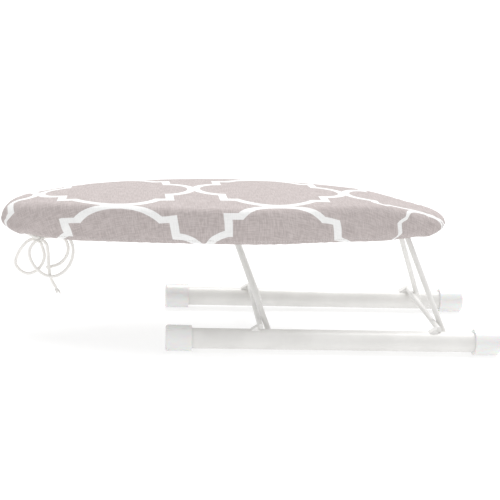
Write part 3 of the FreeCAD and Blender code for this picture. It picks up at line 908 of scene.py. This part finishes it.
def even_line(line, spacing):
    """The same line with evenly spaced points."""
    lengths = [0.0]
    for a, b in zip(line, line[1:]):
        lengths.append(lengths[-1] + (b - a).length)
    count = max(2, round(lengths[-1] / spacing))
    found = []
    k = 0
    for i in range(count + 1):
        target = lengths[-1] * i / count
        while k < len(line) - 2 and lengths[k + 1] < target:
            k += 1
        gap = max(1e-9, lengths[k + 1] - lengths[k])
        found.append(line[k].lerp(line[k + 1], min(1.0, max(0.0, (target - lengths[k]) / gap))))
    return found


def carried_frames(line):
    """A tangent and two cross directions at each point, turning as little as they can."""
    frames = []
    tangent = (line[1] - line[0]).normalized()
    first = tangent.orthogonal().normalized()
    for i, point in enumerate(line):
        ahead = line[min(i + 1, len(line) - 1)] - line[max(i - 1, 0)]
        tangent = ahead.normalized()
        first = (first - tangent * first.dot(tangent)).normalized()
        frames.append((point, tangent, first, tangent.cross(first)))
    return frames


def strand_tube(frames, offset, radius, phase, pitch, sides=8, taper=0.0):
    """Points, faces and yarn coordinates of one strand that winds round a line."""
    length = 0.0
    centres = []
    for i, (point, _, first, second) in enumerate(frames):
        if i:
            length += (point - frames[i - 1][0]).length
        angle = phase + 2 * math.pi * length / pitch
        centres.append(point + (first * math.cos(angle) + second * math.sin(angle)) * offset)
    points = []
    flat = []
    own = carried_frames(centres)
    run = 0.0
    for i, (centre, _, first, second) in enumerate(own):
        if i:
            run += (centre - centres[i - 1]).length
        share = i / (len(own) - 1)
        size = radius * (1.0 - taper * share)
        for j in range(sides):
            angle = 2 * math.pi * j / sides
            points.append(centre + (first * math.cos(angle) + second * math.sin(angle)) * size)
            flat.append((j / sides, run * MM))
    faces = []
    for i in range(len(own) - 1):
        for j in range(sides):
            k = (j + 1) % sides
            faces.append((i * sides + j, i * sides + k, (i + 1) * sides + k, (i + 1) * sides + j))
    last = (len(own) - 1) * sides
    faces.append(tuple(reversed(range(sides))))
    faces.append(tuple(last + j for j in range(sides)))
    return points, faces, flat


def yarn_piece(name, tubes):
    """One piece from several tubes of points, faces and yarn coordinates."""
    points = []
    faces = []
    flat = []
    for some, quads, coordinates in tubes:
        base = len(points)
        points += some
        faces += [tuple(base + index for index in face) for face in quads]
        flat += coordinates
    return make_piece(name, points, faces, "cord_cotton", flat, "yarn")


def twisted_cord(name, line, diameter=CORD * PLUMP, pitch=TWIST_PITCH):
    """Strands twisted together along a line, as one piece."""
    frames = carried_frames(line)
    radius = diameter * STRAND_SHARE
    offset = diameter * 0.5 - radius
    phases = [2 * math.pi * s / STRANDS for s in range(STRANDS)]
    return yarn_piece(name, [strand_tube(frames, offset, radius, phase, pitch) for phase in phases])


def squashed_with_fold(piece):
    """Gives the piece its own copy of its mesh."""
    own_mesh(piece)


def frayed_yarns(name, tip):
    """The frayed end of a cut cord: its yarns come apart in two soft tufts."""
    tubes = []
    for reach, shift in TUFTS:
        side = reach.cross(Vector((0, 1, 0))).normalized()
        for i in range(TUFT_YARNS):
            angle = 2 * math.pi * i / TUFT_YARNS + shift
            around = side * math.cos(angle) + Vector((0, 1, 0)) * math.sin(angle)
            share = 0.78 + 0.22 * math.sin(2.3 * i + shift)
            line = []
            for k in range(YARN_POINTS):
                t = k / (YARN_POINTS - 1)
                wave = noise.noise(Vector((i * 3.1 + shift, t * 2.4, 0.0))) * 1.1 * t
                spread = around * (0.55 + 0.5 * t * t)
                line.append(tip + reach * (t * share - 0.12) + spread + side * wave)
            frames = carried_frames(line)
            tubes.append(strand_tube(frames, 0.0, YARN_RADIUS, 0.0, TWIST_PITCH, 6, YARN_TAPER))
    piece = yarn_piece(name, tubes)
    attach(piece, "board")
    return piece


def hanging_cord(name, node, points, extras=()):
    """One free stretch of the drawstring along its route."""
    line = smooth_route(name, points)
    length = sum((b - a).length for a, b in zip(line, line[1:]))
    piece = twisted_cord(name, line)
    stand_in_for(piece, node)
    squashed_with_fold(piece)
    for extra in extras:
        squashed_with_fold(extra)
    tuple(line[0] * MM)
    [tuple(p * MM) for p in line]


def make_drawstring():
    long_line = smooth_route("tail_line", TAIL_LONG)
    frayed = frayed_yarns("frayed_end", long_line[-1])
    hanging_cord("bow_loop_near_nose", "bow_loop_nose", LOOP_NOSE)
    hanging_cord("bow_loop_near_tail", "bow_loop_tail", LOOP_TAIL)
    hanging_cord("short_end", "drawstring_tail_short", TAIL_SHORT)
    hanging_cord("long_end", "drawstring_tail_long", TAIL_LONG, (frayed,))


def make_knot():
    """The bow's knot: one turn pulled tight round the crossing, and the two leads from the hem."""
    turns = []
    for i in range(KNOT_STEPS + 1):
        t = 2 * math.pi * i / KNOT_STEPS
        x = (math.sin(t) + 2 * math.sin(2 * t)) * KNOT_SIZE
        y = -math.sin(3 * t) * KNOT_DEPTH
        z = (math.cos(t) - 2 * math.cos(2 * t)) * KNOT_SIZE
        turns.append(KNOT + Vector((x, y, z)))
    knot = twisted_cord("bow_knot_turns", even_line(turns, KNOT_SPACING), CORD * TIGHT, KNOT_TWIST_PITCH)
    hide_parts("bow_knot")
    leads = []
    for i, points in enumerate(LEADS):
        leads.append(twisted_cord("lead_%d" % (i + 1), smooth_route("lead", points)))
    for piece in [knot] + leads:
        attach(piece, "board")
        squashed_with_fold(piece)


make_drawstring()
make_knot()


# ======================================== foam, hem and its stitches
def make_pad():
    """Foam underlay: crowned on top, rounded at the edge and flat on the deck."""
    bottom = DECK_TOP + PAD_CLEARANCE
    columns = []
    for station in STATIONS:
        point, normal = station
        spine = spine_point(point, normal)
        rows = [row for row in side_profile(station, PAD_INSET) if row[1] > bottom]
        edge = point - normal * rows[0][0]
        column = top_points(spine, edge, PAD_INSET)
        for distance, height in rows:
            column.append((point - normal * distance, height, edge))
        lowest = point - normal * (rows[-1][0] + PAD_CHAMFER)
        column.append((lowest, bottom, edge))
        for k in range(1, PAD_RINGS + 1):
            place = spine.lerp(lowest, 1 - k / PAD_RINGS)
            column.append((place, bottom, place))
        columns.append(column)
    piece = grid_mesh("foam_underlay", evened(columns, PAD_RINGS + 1), "foam")
    stand_in_for(piece, "foam_pad")
    return piece


def evened(columns, under):
    """All columns as long as the longest: each repeats the last point before those of its underside."""
    longest = max(len(column) for column in columns)
    found = []
    for column in columns:
        head = column[:-under]
        found.append(head + head[-1:] * (longest - len(column)) + column[-under:])
    return found


def hem_line(inset_more, rise):
    """Points round the hem, in from the lowest roll of the cover."""
    line = []
    for station in STATIONS:
        point, normal = station
        distance, height = side_profile(station, 0.0)[-1]
        place = point - normal * (distance + inset_more)
        line.append(Vector((place.x, place.y, height + rise - arch_drop(place.x))))
    return line


def closed_tube(name, line, width, height, finish, gathers, sides=14):
    """A soft tube round a closed line, puckered where the cloth is gathered."""
    line = even_line(line + line[:1], TUBE_SPACING)[:-1]
    count = len(line)
    up = Vector((0, 0, 1))
    points = []
    for i, point in enumerate(line):
        ahead = (line[(i + 1) % count] - line[i - 1]).normalized()
        across = ahead.cross(up).normalized()
        for j in range(sides):
            angle = 2 * math.pi * j / sides
            pucker = 1.0 + gathers * noise.noise(Vector((i * 0.9, math.cos(angle), math.sin(angle))))
            offset = across * math.cos(angle) * width / 2 + up * math.sin(angle) * height / 2
            points.append(point + offset * pucker)
    faces = []
    for i in range(count):
        n = (i + 1) % count
        for j in range(sides):
            k = (j + 1) % sides
            faces.append((i * sides + j, n * sides + j, n * sides + k, i * sides + k))
    return mended(make_piece(name, points, faces, finish))


def make_hem():
    """The rolled edge of the cover, and the drawstring that runs inside it."""
    line = hem_line(LIP - 1.0, TUBE_UP)
    rolled = closed_tube("rolled_hem", line, TUBE_WIDTH, TUBE_HEIGHT, "hem_cotton", TUBE_PUCKER)
    smoothed_mesh(rolled)
    stand_in_for(rolled, "hem_casing")
    closed = even_line(line + line[:1], HEM_CORD_SPACING)
    inner = twisted_cord("drawstring_in_the_hem", closed, CORD * IN_HEM)
    stand_in_for(inner, "drawstring_in_hem")
    return rolled


def stitch_nodes():
    """Geometry nodes: thread stitches laid end to end along an edge line."""
    tree = bpy.data.node_groups.new("stitch_row", "GeometryNodeTree")
    tree.interface.new_socket("Line", in_out="INPUT", socket_type="NodeSocketGeometry")
    for label in ("Stitch Pitch", "Stitch Length", "Thread Radius"):
        tree.interface.new_socket(label, in_out="INPUT", socket_type="NodeSocketFloat")
    tree.interface.new_socket("Stitches", in_out="OUTPUT", socket_type="NodeSocketGeometry")

    def add(kind, settings=None, links=None):
        node = tree.nodes.new(kind)
        for key, value in (settings or {}).items():
            setattr(node, key, value)
        for key, value in (links or {}).items():
            if isinstance(value, bpy.types.NodeSocket):
                tree.links.new(value, node.inputs[key])
            else:
                node.inputs[key].default_value = value
        return node

    given = add("NodeGroupInput")
    curve = add("GeometryNodeMeshToCurve", None, {"Mesh": given.outputs["Line"]})
    spaced = add("GeometryNodeResampleCurve", {"mode": "LENGTH"}, {
        "Curve": curve.outputs[0], "Length": given.outputs["Stitch Pitch"],
    })
    bead = add("GeometryNodeMeshUVSphere", None, {"Segments": 6, "Rings": 5, "Radius": 1.0})
    half = add("ShaderNodeMath", {"operation": "MULTIPLY"}, {0: given.outputs["Stitch Length"], 1: 0.5})
    size = add("ShaderNodeCombineXYZ", None, {
        "X": given.outputs["Thread Radius"], "Y": given.outputs["Thread Radius"], "Z": half.outputs[0],
    })
    thread = add("GeometryNodeTransform", None, {
        "Geometry": bead.outputs["Mesh"], "Scale": size.outputs[0],
    })
    tangent = add("GeometryNodeInputTangent")
    turn = add("FunctionNodeAlignRotationToVector", {"axis": "Z"}, {"Vector": tangent.outputs[0]})
    laid = add("GeometryNodeInstanceOnPoints", None, {
        "Points": spaced.outputs[0], "Instance": thread.outputs[0], "Rotation": turn.outputs[0],
    })
    real = add("GeometryNodeRealizeInstances", None, {"Geometry": laid.outputs[0]})
    painted = add("GeometryNodeSetMaterial", None, {
        "Geometry": real.outputs[0], "Material": finishes["thread"],
    })
    add("NodeGroupOutput", None, {"Stitches": painted.outputs[0]})
    return tree


def make_stitches(tree, surface, name):
    """One row of stitches round the side of the cover, lying on its surface."""
    cloth = BVHTree.FromObject(surface, bpy.context.evaluated_depsgraph_get())
    points = []
    for station in STATIONS:
        point, normal = station
        distance, level = side_profile(station, 0.0)[STITCH_ROW]
        place = point - normal * (distance - STITCH_AIM)
        aim = Vector((place.x, place.y, level - arch_drop(place.x))) * MM
        found, outward, _, _ = cloth.find_nearest(aim)
        points.append(found / MM + outward * STITCH_PROUD)
    mesh = bpy.data.meshes.new(name)
    edges = [(i, (i + 1) % len(points)) for i in range(len(points))]
    mesh.from_pydata([p * MM for p in points], edges, [])
    row = bpy.data.objects.new(name, mesh)
    bpy.context.collection.objects.link(row)
    stitched = row.modifiers.new("stitches", "NODES")
    stitched.node_group = tree
    sizes = {"Stitch Pitch": STITCH_PITCH, "Stitch Length": STITCH_LENGTH, "Thread Radius": THREAD_RADIUS}
    for item in tree.interface.items_tree:
        if item.in_out == "INPUT" and item.name in sizes:
            stitched[item.identifier] = sizes[item.name] * MM
    made = plain_mesh(row)
    for polygon in made.polygons:
        polygon.use_smooth = True
    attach(row, "board")
    return row


pad = make_pad()
hem = make_hem()
stitch_tree = stitch_nodes()
hem_stitches = make_stitches(stitch_tree, cover, "hem_stitches")


# ======================================== metal and plastic parts
for row in frame["record"]["subparts"]:
    node = nodes[row["node"]]
    finish = row["material_slot"]
    if node.type == "MESH" and finish in finishes:
        for holder in node.material_slots:
            holder.material = finishes[finish]
